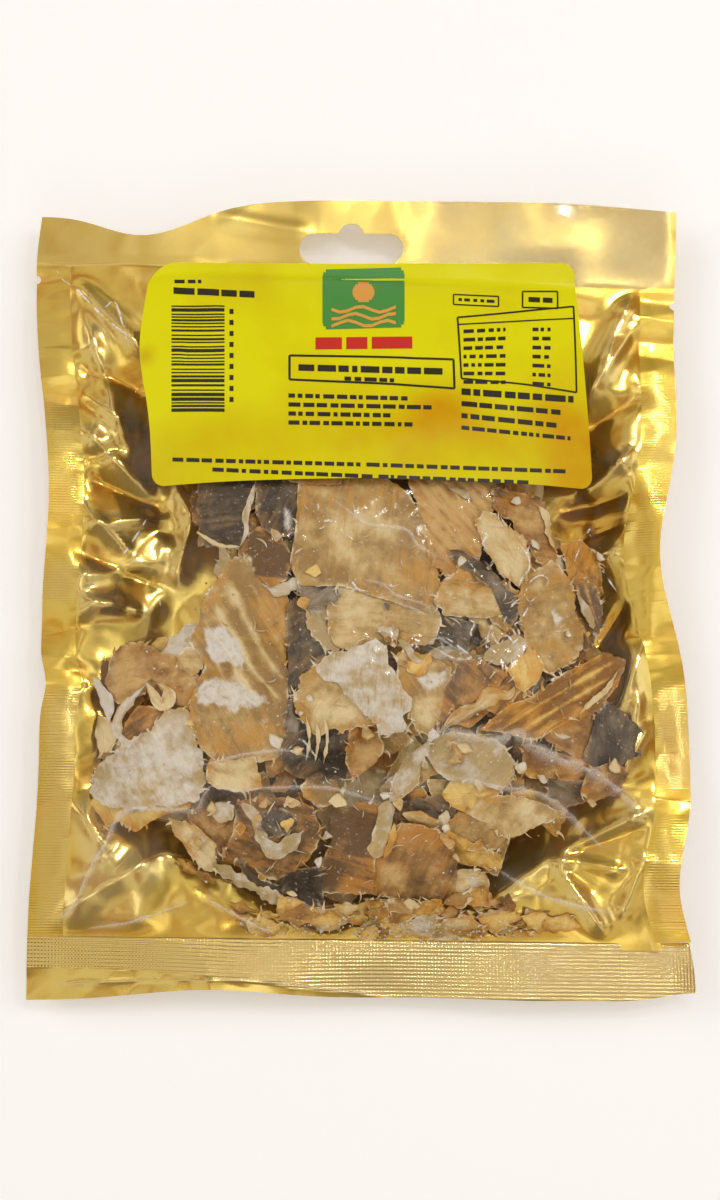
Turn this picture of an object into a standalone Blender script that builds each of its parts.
"""A clear-fronted pouch of dried stockfish trimmings, lying on its back.

The pouch has three pieces: a gold foil back web, whose edges are the seals and
the hanging header, a clear front that bulges over the fish, and a paper label.
Lengths are millimetres until MM scales them. +X is the pouch's right, +Y runs
to its header, +Z is up, and the table is the plane z = 0.
"""
import math

import bmesh
import bpy

MM = 0.001

# Driving dimensions of the pouch, which is 200 x 250 mm while it is flat.
HALF_WIDTH = 100.0
HEADER_EDGE = 123.6
FOOT_EDGE = -121.4
HEADER_BOW = 4.0
LEFT_FLARE = 0.012
RIGHT_INSET = 1.0
SIDE_SEAL = 10.5
FOOT_SEAL = 17.4
FOOT_SEAL_SLOPE = 1.3
HEADER_SEAL_LEFT = 102.5
HEADER_SEAL_RIGHT = 93.8
FOIL_THICKNESS = 0.5
PIECE_GAP = 0.35
LABEL_GAP = 0.7

# The back rests on a flat oval of the belly, and its seals stand off the table.
FLAT_HALF_WIDTH = 56.0
FLAT_HALF_LENGTH = 64.0
FLAT_CENTRE_Y = -6.0
FLAT_REACH_END = 1.6
SEAL_HEIGHT = 9.0

# The bulge of the front above the seals.
BULGE = 26.0
BULGE_CENTRE_Y = 6.0
FRONT_RIM = 0.6

# The hanging slot: a round-ended slot with a dome in the middle of its top.
SLOT_CENTRE = (-2.7, 108.0)
SLOT_WIDTH = 32.5
SLOT_DEPTH = 10.0
DOME_RADIUS = 4.0
DOME_RISE = 4.2

# One tear notch in each side edge.
NOTCH_RADIUS = 1.3
NOTCH_LEFT_Y = 98.5
NOTCH_RIGHT_Y = 89.4

# The label: its left and right sides as (x at the top, x at the foot), its ends
# in y, and the hump (depth, centre, half width) where its left side folds out.
LABEL_LEFT = (-65.0, -61.5)
LABEL_RIGHT = (66.2, 69.4)
LABEL_TOP_Y = 102.4
LABEL_FOOT_Y = 28.7
LABEL_LEFT_HUMP = (3.2, 73.0, 18.0)
LABEL_THICKNESS = 0.3
LABEL_CORNER = 4.0
CORNER_STEPS = 3

# How finely the sheets are divided, in millimetres.
BACK_STEP = 7.0
FRONT_STEP = 4.7
LABEL_STEP = 4.5
ROUND_STEPS = 24

# Where the filling draws the edges in: (depth, centre, half width).
LEFT_TUCKS = (
    (5.4, 33.0, 38.0),
    (3.6, -45.0, 45.0),
    (1.8, -28.0, 7.0),
    (2.0, 124.0, 13.0),
)
RIGHT_TUCKS = ((2.0, 75.0, 30.0), (8.3, 11.0, 27.0), (4.8, -88.0, 17.0))
HEADER_DIPS = ((10.4, -66.0, 21.0),)
FOOT_RISES = ((3.4, -45.0, 30.0), (0.9, 18.0, 28.0), (2.2, 99.0, 12.0))

# Soft waves of the edges, up from the seals' plane: (height, x, y, spread x, spread y).
EDGE_WAVES = (
    (3.6, -68.0, 122.0, 24.0, 22.0),
    (-2.2, -98.0, 112.0, 16.0, 20.0),
    (1.8, 62.0, 120.0, 26.0, 18.0),
    (2.8, 94.0, 14.0, 12.0, 22.0),
    (-2.4, 99.0, -45.0, 10.0, 18.0),
    (2.2, 99.0, -88.0, 12.0, 14.0),
    (2.0, -98.0, 32.0, 12.0, 30.0),
    (-1.6, -98.0, -8.0, 10.0, 12.0),
    (1.8, -98.0, -34.0, 10.0, 16.0),
    (2.4, -41.0, -119.0, 26.0, 12.0),
    (-2.0, 4.0, -121.0, 20.0, 10.0),
    (1.6, 48.0, -119.0, 18.0, 10.0),
    (3.0, 97.0, -118.0, 16.0, 14.0),
    (-2.2, -98.0, -118.0, 16.0, 14.0),
)

# Lumps that the fish pushes up in the front: (x, y, radius, height).
LUMPS = (
    (3.0, 20.0, 24.0, 2.4),
    (-37.0, 12.0, 15.0, 2.6),
    (-33.0, -8.0, 17.0, 3.2),
    (-66.0, -30.0, 13.0, 3.0),
    (-64.0, -52.0, 17.0, 3.4),
    (1.0, -32.0, 17.0, 3.8),
    (36.0, 2.0, 15.0, 3.4),
    (58.0, 0.0, 13.0, 2.6),
    (60.0, -26.0, 15.0, 4.4),
    (31.0, -26.0, 13.0, 2.8),
    (33.0, -50.0, 15.0, 3.6),
    (66.0, -44.0, 12.0, 2.4),
    (-27.0, -58.0, 14.0, 2.0),
    (-27.0, -74.0, 14.0, 3.4),
    (48.0, -66.0, 14.0, 3.0),
    (17.0, -84.0, 15.0, 3.2),
    (-8.0, -78.0, 11.0, 2.2),
    (-52.0, -76.0, 12.0, 2.4),
)

# Long creases of the front film: (from x, from y, to x, to y, width, height).
CREASES = (
    (-86.0, -92.0, -69.0, -64.0, 4.0, 2.2),
    (-69.0, -64.0, -47.0, -57.0, 4.0, 1.8),
    (-47.0, -57.0, 6.0, -60.0, 4.0, 1.8),
    (21.0, -42.0, 47.0, -43.0, 4.0, 2.2),
    (47.0, -43.0, 82.0, -66.0, 4.0, 2.4),
    (42.0, -80.0, 74.0, -93.0, 4.0, 1.8),
    (-88.0, 66.0, -66.0, 30.0, 4.5, -1.6),
    (-88.0, 20.0, -62.0, 24.0, 4.5, -1.6),
    (86.0, 24.0, 66.0, 20.0, 4.5, -1.8),
)

# Colours of the materials: red, green, blue, roughness, metallic, alpha.
GOLD_FOIL = (0.62, 0.44, 0.12, 0.28, 1.0, 1.0)
CLEAR_FILM = (0.55, 0.42, 0.26, 0.18, 0.0, 0.85)
LABEL_PAPER = (0.72, 0.62, 0.04, 0.40, 0.0, 1.0)


def bell(value, centre, spread):
    """A smooth hump of height 1 at the centre."""
    return math.exp(-((value - centre) / spread) ** 2)


def bells(value, humps):
    return sum(depth * bell(value, centre, spread) for depth, centre, spread in humps)


def blend(low, high, share):
    return low + (high - low) * share


def smooth_step(start, end, value):
    share = min(max((value - start) / (end - start), 0.0), 1.0)
    return share * share * (3.0 - 2.0 * share)


def left_edge(y):
    return -HALF_WIDTH - LEFT_FLARE * y + bells(y, LEFT_TUCKS)


def right_edge(y):
    return HALF_WIDTH - RIGHT_INSET - bells(y, RIGHT_TUCKS)


def header_edge(x):
    """The header's top edge, which bows down a little to its corners."""
    return HEADER_EDGE - HEADER_BOW * (x / HALF_WIDTH) ** 2 - bells(x, HEADER_DIPS)


def foot_edge(x):
    return FOOT_EDGE + bells(x, FOOT_RISES)


def header_seal(x):
    """Where the clear window ends below the header."""
    return blend(HEADER_SEAL_LEFT, HEADER_SEAL_RIGHT, 0.5 + 0.5 * x / HALF_WIDTH)


def foot_seal(x):
    """Where the clear window ends above the foot seal."""
    return FOOT_EDGE + FOOT_SEAL - FOOT_SEAL_SLOPE * x / HALF_WIDTH


def edge_wave(x, y):
    return sum(
        height * bell(x, at_x, spread_x) * bell(y, at_y, spread_y)
        for height, at_x, at_y, spread_x, spread_y in EDGE_WAVES
    )


def back_height(x, y):
    """Underside of the foil: flat on the table, then up to the seals."""
    across = abs(x) / FLAT_HALF_WIDTH
    along = abs(y - FLAT_CENTRE_Y) / FLAT_HALF_LENGTH
    reach = (across ** 3 + along ** 3) ** (1 / 3)
    rise = smooth_step(1.0, FLAT_REACH_END, reach)
    return (SEAL_HEIGHT + edge_wave(x, y)) * rise


def foil_top(x, y):
    return back_height(x, y) + FOIL_THICKNESS


def lumps(x, y):
    return sum(
        height * math.exp(-((x - at_x) ** 2 + (y - at_y) ** 2) / radius ** 2)
        for at_x, at_y, radius, height in LUMPS
    )


def creases(x, y):
    """Ridges and grooves that follow straight runs of the film."""
    total = 0.0
    for x0, y0, x1, y1, width, height in CREASES:
        run_x, run_y = x1 - x0, y1 - y0
        share = ((x - x0) * run_x + (y - y0) * run_y) / (run_x ** 2 + run_y ** 2)
        share = min(max(share, 0.0), 1.0)
        aside = math.hypot(x - x0 - share * run_x, y - y0 - share * run_y)
        total += height * math.exp(-((aside / width) ** 2))
    return total


def front_share(x, y):
    """How full the bulge is, from 0 at the seals to 1 at its top."""
    left = left_edge(y) + SIDE_SEAL
    right = right_edge(y) - SIDE_SEAL
    across = abs(2.0 * (x - left) / (right - left) - 1.0)
    end = header_seal(x) if y > BULGE_CENTRE_Y else foot_seal(x)
    along = (y - BULGE_CENTRE_Y) / (end - BULGE_CENTRE_Y)
    crown = max(1.0 - across ** 2.3, 0.0) ** 0.85
    length = max(1.0 - abs(along) ** 2.0, 0.0) ** 0.8
    return crown * length


def front_height(x, y):
    """Outside of the clear front above the table."""
    share = front_share(x, y)
    seal = foil_top(x, y) + PIECE_GAP + FRONT_RIM
    level = SEAL_HEIGHT + FOIL_THICKNESS + PIECE_GAP + FRONT_RIM + BULGE * share
    relief = (lumps(x, y) + creases(x, y)) * smooth_step(0.0, 0.45, share)
    return blend(seal, level + relief, smooth_step(0.0, 0.12, share))


def even_steps(length, step):
    count = max(2, round(length / step))
    return [index / count for index in range(count + 1)]


def sheet_object(name, rows, upper, lower):
    """A closed sheet: a grid of (x, y) places between an upper and a lower height."""
    mesh = bmesh.new()
    sides = []
    for height in (upper, lower):
        sides.append([[mesh.verts.new((x * MM, y * MM, height(x, y) * MM)) for x, y in row]
                      for row in rows])
    top, under = sides
    last_row, last_column = len(rows) - 1, len(rows[0]) - 1
    for j in range(last_row):
        for i in range(last_column):
            corners = ((j, i), (j, i + 1), (j + 1, i + 1), (j + 1, i))
            ring = [top[b][a] for b, a in corners]
            mesh.faces.new((ring[0], ring[1], ring[2]))
            mesh.faces.new((ring[0], ring[2], ring[3]))
            ring = [under[b][a] for b, a in corners]
            mesh.faces.new((ring[0], ring[2], ring[1]))
            mesh.faces.new((ring[0], ring[3], ring[2]))
    border = [(0, i) for i in range(last_column)]
    border += [(j, last_column) for j in range(last_row)]
    border += [(last_row, i) for i in range(last_column, 0, -1)]
    border += [(j, 0) for j in range(last_row, 0, -1)]
    for (b0, a0), (b1, a1) in zip(border, border[1:] + border[:1]):
        mesh.faces.new((top[b0][a0], under[b0][a0], under[b1][a1], top[b1][a1]))
    merge_flat_faces(mesh)
    data = bpy.data.meshes.new(name)
    mesh.to_mesh(data)
    mesh.free()
    piece = bpy.data.objects.new(name, data)
    bpy.context.collection.objects.link(piece)
    data.shade_smooth()
    data.set_sharp_from_angle(angle=math.radians(50))
    return piece


def merge_flat_faces(mesh):
    """Joins the coplanar faces of the belly's flat oval into one face."""
    for side in (-1.0, 1.0):
        mesh.normal_update()
        flat = [face for face in mesh.faces if face.normal.z * side > 0.9999999]
        heights = {round(face.calc_center_median().z / MM, 4) for face in flat}
        if flat and len(heights) == 1:
            bmesh.ops.dissolve_faces(mesh, faces=flat, use_verts=True)


def upright_prism(name, outline, bottom, top):
    """A cutter: a closed outline of (x, y) places between two heights."""
    mesh = bmesh.new()
    base = [mesh.verts.new((x * MM, y * MM, bottom * MM)) for x, y in outline]
    floor = mesh.faces.new(base)
    grown = bmesh.ops.extrude_face_region(mesh, geom=[floor])["geom"]
    lifted = [part for part in grown if isinstance(part, bmesh.types.BMVert)]
    bmesh.ops.translate(mesh, verts=lifted, vec=(0.0, 0.0, (top - bottom) * MM))
    bmesh.ops.recalc_face_normals(mesh, faces=mesh.faces)
    data = bpy.data.meshes.new(name)
    mesh.to_mesh(data)
    mesh.free()
    cutter = bpy.data.objects.new(name, data)
    bpy.context.collection.objects.link(cutter)
    cutter.hide_render = True
    cutter.display_type = "WIRE"
    return cutter


def cut(piece, cutter):
    modifier = piece.modifiers.new(cutter.name, "BOOLEAN")
    modifier.operation = "DIFFERENCE"
    modifier.object = cutter


def arc(centre, radius, start, end, steps):
    """Places along an arc, from the start angle to the end angle in degrees."""
    angles = [math.radians(blend(start, end, k / steps)) for k in range(steps + 1)]
    return [(centre[0] + radius * math.cos(a), centre[1] + radius * math.sin(a)) for a in angles]


def slot_outline():
    x, y = SLOT_CENTRE
    radius = SLOT_DEPTH / 2
    reach = SLOT_WIDTH / 2 - radius
    half = ROUND_STEPS // 2
    return arc((x - reach, y), radius, 90, 270, half) + arc((x + reach, y), radius, -90, 90, half)


def dome_outline():
    """The dome's round top on straight sides that reach down into the slot."""
    x, y = SLOT_CENTRE
    top = arc((x, y + DOME_RISE), DOME_RADIUS, 0, 180, ROUND_STEPS // 2)
    return top + [(x - DOME_RADIUS, y), (x + DOME_RADIUS, y)]


def finish_material(name, red, green, blue, roughness, metallic, alpha):
    material = bpy.data.materials.new(name)
    material.use_nodes = True
    shader = material.node_tree.nodes["Principled BSDF"]
    shader.inputs["Base Color"].default_value = (red, green, blue, 1.0)
    shader.inputs["Roughness"].default_value = roughness
    shader.inputs["Metallic"].default_value = metallic
    shader.inputs["Alpha"].default_value = alpha
    return material


def build_foil_back():
    """The gold web: belly, side and foot seals, and the header with its slot."""
    rows = []
    for along in even_steps(HEADER_EDGE - FOOT_EDGE, BACK_STEP):
        row = []
        for across in even_steps(2 * HALF_WIDTH, BACK_STEP):
            plain_x = blend(-HALF_WIDTH, HALF_WIDTH, across)
            y = blend(foot_edge(plain_x), header_edge(plain_x), along)
            row.append((blend(left_edge(y), right_edge(y), across), y))
        rows.append(row)
    back = sheet_object("foil_back", rows, foil_top, back_height)
    back.data.materials.append(finish_material("gold_foil", *GOLD_FOIL))
    low, high = SEAL_HEIGHT - 8.0, SEAL_HEIGHT + 8.0
    cut(back, upright_prism("slot_cutter", slot_outline(), low, high))
    cut(back, upright_prism("dome_cutter", dome_outline(), low - 1.0, high + 1.0))
    left_notch = (left_edge(NOTCH_LEFT_Y), NOTCH_LEFT_Y)
    right_notch = (right_edge(NOTCH_RIGHT_Y), NOTCH_RIGHT_Y)
    for name, place in (("left_notch_cutter", left_notch), ("right_notch_cutter", right_notch)):
        ring = arc(place, NOTCH_RADIUS, 0, 360, ROUND_STEPS // 2)[:-1]
        cut(back, upright_prism(name, ring, low, high))
    return back


def build_clear_front():
    """The clear film and the fish under it, closed along the back web."""
    rows = []
    for along in even_steps(header_seal(0.0) - foot_seal(0.0), FRONT_STEP):
        row = []
        for across in even_steps(2 * (HALF_WIDTH - SIDE_SEAL), FRONT_STEP):
            plain_x = blend(-HALF_WIDTH + SIDE_SEAL, HALF_WIDTH - SIDE_SEAL, across)
            y = blend(foot_seal(plain_x), header_seal(plain_x), along)
            left, right = left_edge(y) + SIDE_SEAL, right_edge(y) - SIDE_SEAL
            row.append((blend(left, right, across), y))
        rows.append(row)
    front = sheet_object("clear_front", rows, front_height,
                         lambda x, y: foil_top(x, y) + PIECE_GAP)
    front.data.materials.append(finish_material("clear_film", *CLEAR_FILM))
    return front


def label_under(x, y):
    """The label lies on the clear front, or on the header where that is higher."""
    return max(front_height(x, y), foil_top(x, y) + FRONT_RIM) + LABEL_GAP


def build_label():
    """The paper label, with its four corners rounded."""
    turns = [math.radians(90 * step / CORNER_STEPS) for step in range(CORNER_STEPS)]
    ends = [LABEL_CORNER * (1 - math.cos(turn)) for turn in turns]
    low, high = LABEL_FOOT_Y + LABEL_CORNER, LABEL_TOP_Y - LABEL_CORNER
    places = [LABEL_FOOT_Y + end for end in ends]
    places += [blend(low, high, share) for share in even_steps(high - low, LABEL_STEP)]
    places += [LABEL_TOP_Y - end for end in reversed(ends)]
    rows = []
    for y in places:
        along = (y - LABEL_FOOT_Y) / (LABEL_TOP_Y - LABEL_FOOT_Y)
        from_end = min(y - LABEL_FOOT_Y, LABEL_TOP_Y - y)
        into_corner = max(LABEL_CORNER - from_end, 0.0)
        inset = LABEL_CORNER - math.sqrt(LABEL_CORNER ** 2 - into_corner ** 2)
        left = blend(LABEL_LEFT[1], LABEL_LEFT[0], along) + inset
        left -= bells(y, [LABEL_LEFT_HUMP])
        right = blend(LABEL_RIGHT[1], LABEL_RIGHT[0], along) - inset
        steps = even_steps(LABEL_RIGHT[0] - LABEL_LEFT[0], LABEL_STEP)
        rows.append([(blend(left, right, across), y) for across in steps])
    label = sheet_object("label", rows, lambda x, y: label_under(x, y) + LABEL_THICKNESS,
                         label_under)
    label.data.materials.append(finish_material("label_paper", *LABEL_PAPER))
    return label


for old in list(bpy.data.objects):
    bpy.data.objects.remove(old, do_unlink=True)

build_foil_back()
build_clear_front()
build_label()
